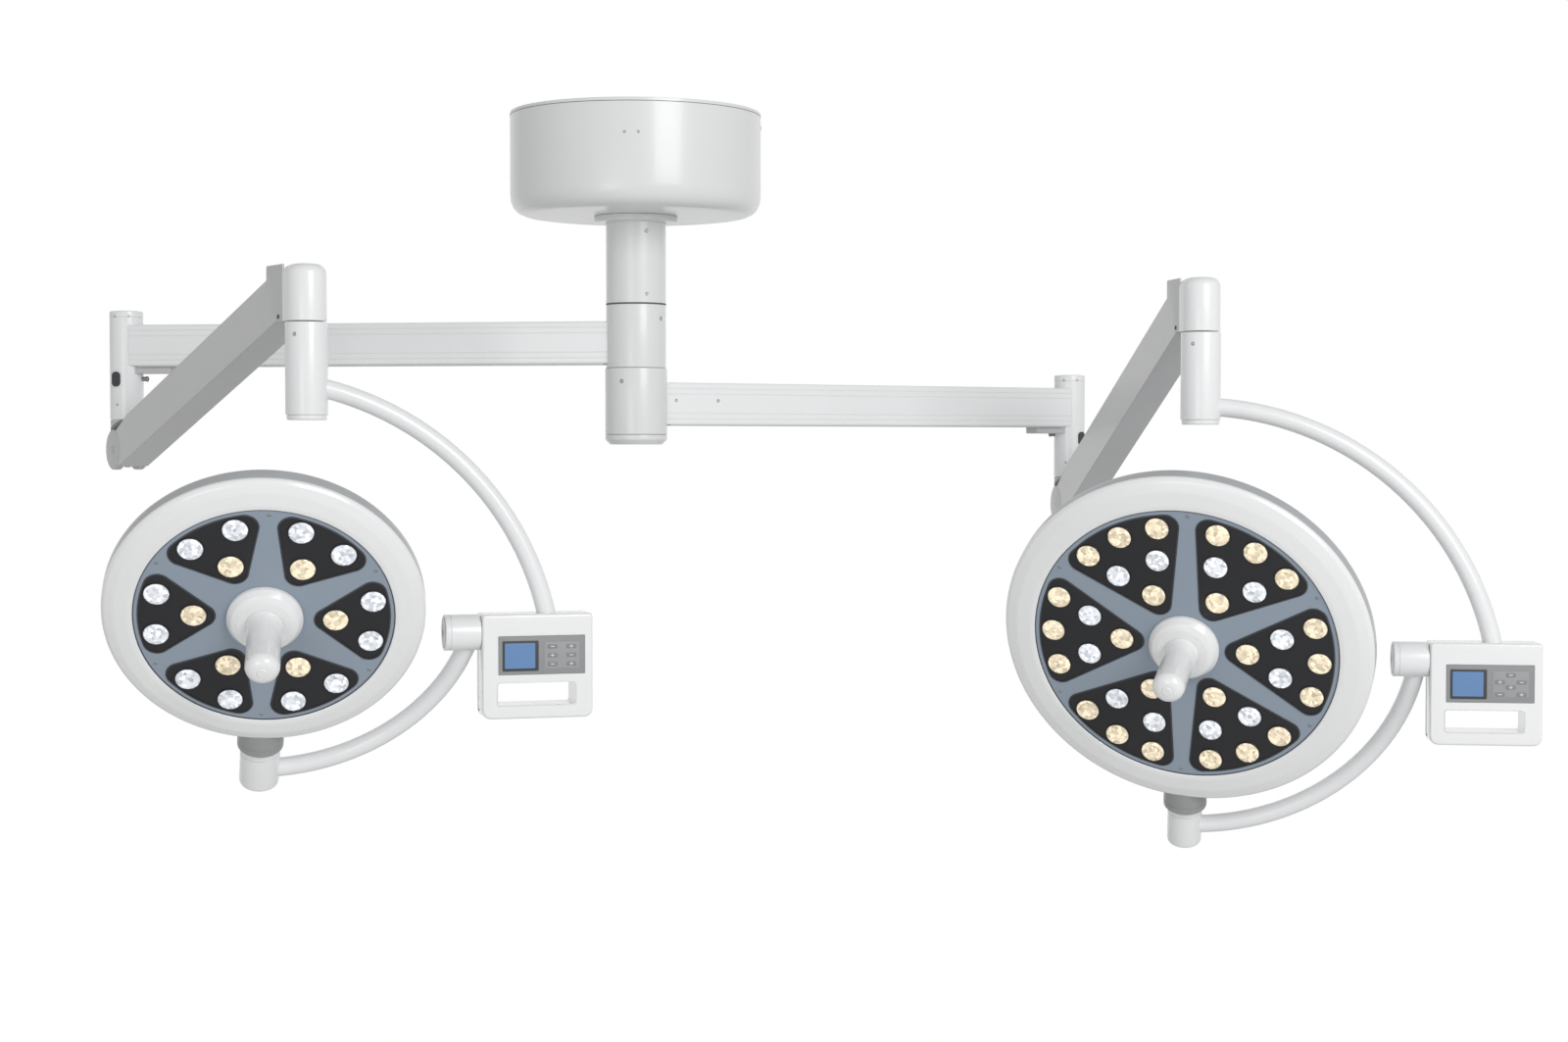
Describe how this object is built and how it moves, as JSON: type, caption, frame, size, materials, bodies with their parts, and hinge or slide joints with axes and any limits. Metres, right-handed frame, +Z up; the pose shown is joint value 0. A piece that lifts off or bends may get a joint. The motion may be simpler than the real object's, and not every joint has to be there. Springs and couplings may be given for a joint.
{
  "type": "surgical light",
  "caption": "Ceiling surgical light: round canopy and column with swinging extension arms, balanced spring arms, curved yokes with control boxes and round LED lamp heads with removable handles.",
  "frame": {"origin": "centre of the ceiling plate's upper face, where it meets the ceiling", "axes": "+Z up into the ceiling, +X towards the larger lamp head, -Y towards the viewer"},
  "size_m": [2.0354, 1.0016, 1.0484],
  "materials": {
    "white_enamel": "smooth white enamel",
    "white_gloss": "glossy white",
    "shell_grey": "satin grey",
    "knuckle_grey": "satin grey enamel",
    "joint_grey": "satin grey enamel",
    "face_blue": "painted blue-grey, satin",
    "module_black": "black, fine texture",
    "brake_dark": "blackened",
    "bare_steel": "turned",
    "panel_grey": "fine matt",
    "key_film": "printed membrane"
  },
  "bodies": {
    "ceiling_mount": {"ceiling_plate": "bare_steel", "power_supply": "bare_steel", "canopy": "white_enamel", "canopy_collar": "white_enamel", "column_tube": "white_enamel", "column_spindle": "bare_steel", "column_end_cap": "white_gloss"},
    "left_arm": {"left_arm_hub": "white_enamel", "left_arm_beam": "white_enamel", "left_outer_hub": "white_enamel", "left_brake_screw": "brake_dark"},
    "left_swivel": {"left_rear_knuckle": "knuckle_grey", "left_rear_pin": "bare_steel"},
    "left_lift": {"left_spring_arm": "white_enamel", "left_lift_spring": "bare_steel"},
    "left_tie": {"left_tie_rod": "bare_steel"},
    "left_front": {"left_front_head": "white_enamel", "left_front_pin": "bare_steel"},
    "left_yoke": {"left_sleeve": "white_enamel", "left_upper_arc": "white_enamel", "left_control_housing": "white_gloss", "left_display_panel": "panel_grey", "left_keypad": "key_film"},
    "left_tilt": {"left_tilt_barrel": "white_enamel", "left_lower_arc": "white_enamel", "left_swivel_joint": "white_enamel"},
    "left_head": {"left_swivel_collar": "joint_grey", "left_back_shell": "shell_grey", "left_rim_ring": "white_gloss", "left_face_plate": "face_blue", "left_lens_carrier": "module_black", "left_handle_base": "white_gloss"},
    "left_handle": {"left_handle_grip": "white_gloss"},
    "right_arm": {"right_arm_hub": "white_enamel", "right_arm_beam": "white_enamel", "right_outer_hub": "white_enamel", "right_brake_screw": "brake_dark"},
    "right_swivel": {"right_rear_knuckle": "knuckle_grey", "right_rear_pin": "bare_steel"},
    "right_lift": {"right_spring_arm": "white_enamel", "right_lift_spring": "bare_steel"},
    "right_tie": {"right_tie_rod": "bare_steel"},
    "right_front": {"right_front_head": "white_enamel", "right_front_pin": "bare_steel"},
    "right_yoke": {"right_sleeve": "white_enamel", "right_upper_arc": "white_enamel", "right_control_housing": "white_gloss", "right_display_panel": "panel_grey", "right_keypad": "key_film"},
    "right_tilt": {"right_tilt_barrel": "white_enamel", "right_lower_arc": "white_enamel", "right_swivel_joint": "white_enamel"},
    "right_head": {"right_swivel_collar": "joint_grey", "right_back_shell": "shell_grey", "right_rim_ring": "white_gloss", "right_face_plate": "face_blue", "right_lens_carrier": "module_black", "right_handle_base": "white_gloss"},
    "right_handle": {"right_handle_grip": "white_gloss"}
  },
  "joints": [
    {"name": "left_arm_swing", "type": "hinge", "parent": "ceiling_mount", "child": "left_arm", "pos_m": [0, 0, -0.329], "axis": [0, 0, 1], "range_deg": [-60, 30]},
    {"name": "left_arm_swivel", "type": "hinge", "parent": "left_arm", "child": "left_swivel", "pos_m": [-0.77004, 0.11783, -0.484], "axis": [0, 0, 1], "range_deg": [-150, 20]},
    {"name": "left_lift", "type": "hinge", "parent": "left_swivel", "child": "left_lift", "pos_m": [-0.77004, 0.11783, -0.484], "axis": [-0.8161, -0.5779, 0], "range_deg": [-56.2, 11.8]},
    {"name": "left_tie_swing", "type": "hinge", "parent": "left_swivel", "child": "left_tie", "pos_m": [-0.77004, 0.11783, -0.504], "axis": [-0.8161, -0.5779, 0], "range_deg": [-56.2, 11.8]},
    {"name": "left_level", "type": "hinge", "parent": "left_lift", "child": "left_front", "pos_m": [-0.41432, -0.38457, -0.28161], "axis": [-0.8161, -0.5779, 0], "range_deg": [-11.8, 56.2]},
    {"name": "left_yoke_swivel", "type": "hinge", "parent": "left_front", "child": "left_yoke", "pos_m": [-0.39698, -0.40905, -0.72161], "axis": [0, 0, 1], "range_deg": [-170, 170]},
    {"name": "left_head_tilt", "type": "hinge", "parent": "left_yoke", "child": "left_tilt", "pos_m": [-0.39698, -0.40905, -0.72161], "axis": [0.9613, 0.2756, 0], "range_deg": [-60, 75]},
    {"name": "left_head_swivel", "type": "hinge", "parent": "left_tilt", "child": "left_head", "pos_m": [-0.44186, -0.45207, -0.67486], "axis": [0.1452, -0.5065, 0.8499], "range_deg": [-170, 170]},
    {"name": "left_handle_pull", "type": "slide", "parent": "left_head", "child": "left_handle", "axis": [0.1462, -0.8386, -0.5248], "range_m": [0, 0.12]},
    {"name": "right_arm_swing", "type": "hinge", "parent": "ceiling_mount", "child": "right_arm", "pos_m": [0, 0, -0.417], "axis": [0, 0, 1], "range_deg": [-30, 60]},
    {"name": "right_arm_swivel", "type": "hinge", "parent": "right_arm", "child": "right_swivel", "pos_m": [0.67299, 0.38231, -0.572], "axis": [0, 0, 1], "range_deg": [-20, 150]},
    {"name": "right_lift", "type": "hinge", "parent": "right_swivel", "child": "right_lift", "pos_m": [0.67299, 0.38231, -0.572], "axis": [-0.9845, -0.1754, 0], "range_deg": [-64.2, 3.8]},
    {"name": "right_tie_swing", "type": "hinge", "parent": "right_swivel", "child": "right_tie", "pos_m": [0.67299, 0.38231, -0.592], "axis": [-0.9845, -0.1754, 0], "range_deg": [-64.2, 3.8]},
    {"name": "right_level", "type": "hinge", "parent": "right_lift", "child": "right_front", "pos_m": [0.77495, -0.1901, -0.2859], "axis": [-0.9845, -0.1754, 0], "range_deg": [-3.8, 64.2]},
    {"name": "right_yoke_swivel", "type": "hinge", "parent": "right_front", "child": "right_yoke", "pos_m": [0.78021, -0.21964, -0.7653], "axis": [0, 0, 1], "range_deg": [-170, 170]},
    {"name": "right_head_tilt", "type": "hinge", "parent": "right_yoke", "child": "right_tilt", "pos_m": [0.78021, -0.21964, -0.7653], "axis": [0.9919, -0.1271, 0], "range_deg": [-60, 75]},
    {"name": "right_head_swivel", "type": "hinge", "parent": "right_tilt", "child": "right_head", "pos_m": [0.76421, -0.23435, -0.73225], "axis": [-0.0571, -0.4457, 0.8934], "range_deg": [-170, 170]},
    {"name": "right_handle_pull", "type": "slide", "parent": "right_head", "child": "right_handle", "axis": [-0.3321, -0.8354, -0.438], "range_m": [0, 0.12]}
  ],
  "couplings": [
    {"joint": "left_tie_swing", "follows": "left_lift", "ratio": 1},
    {"joint": "left_level", "follows": "left_lift", "ratio": -1},
    {"joint": "right_tie_swing", "follows": "right_lift", "ratio": 1},
    {"joint": "right_level", "follows": "right_lift", "ratio": -1}
  ]
}
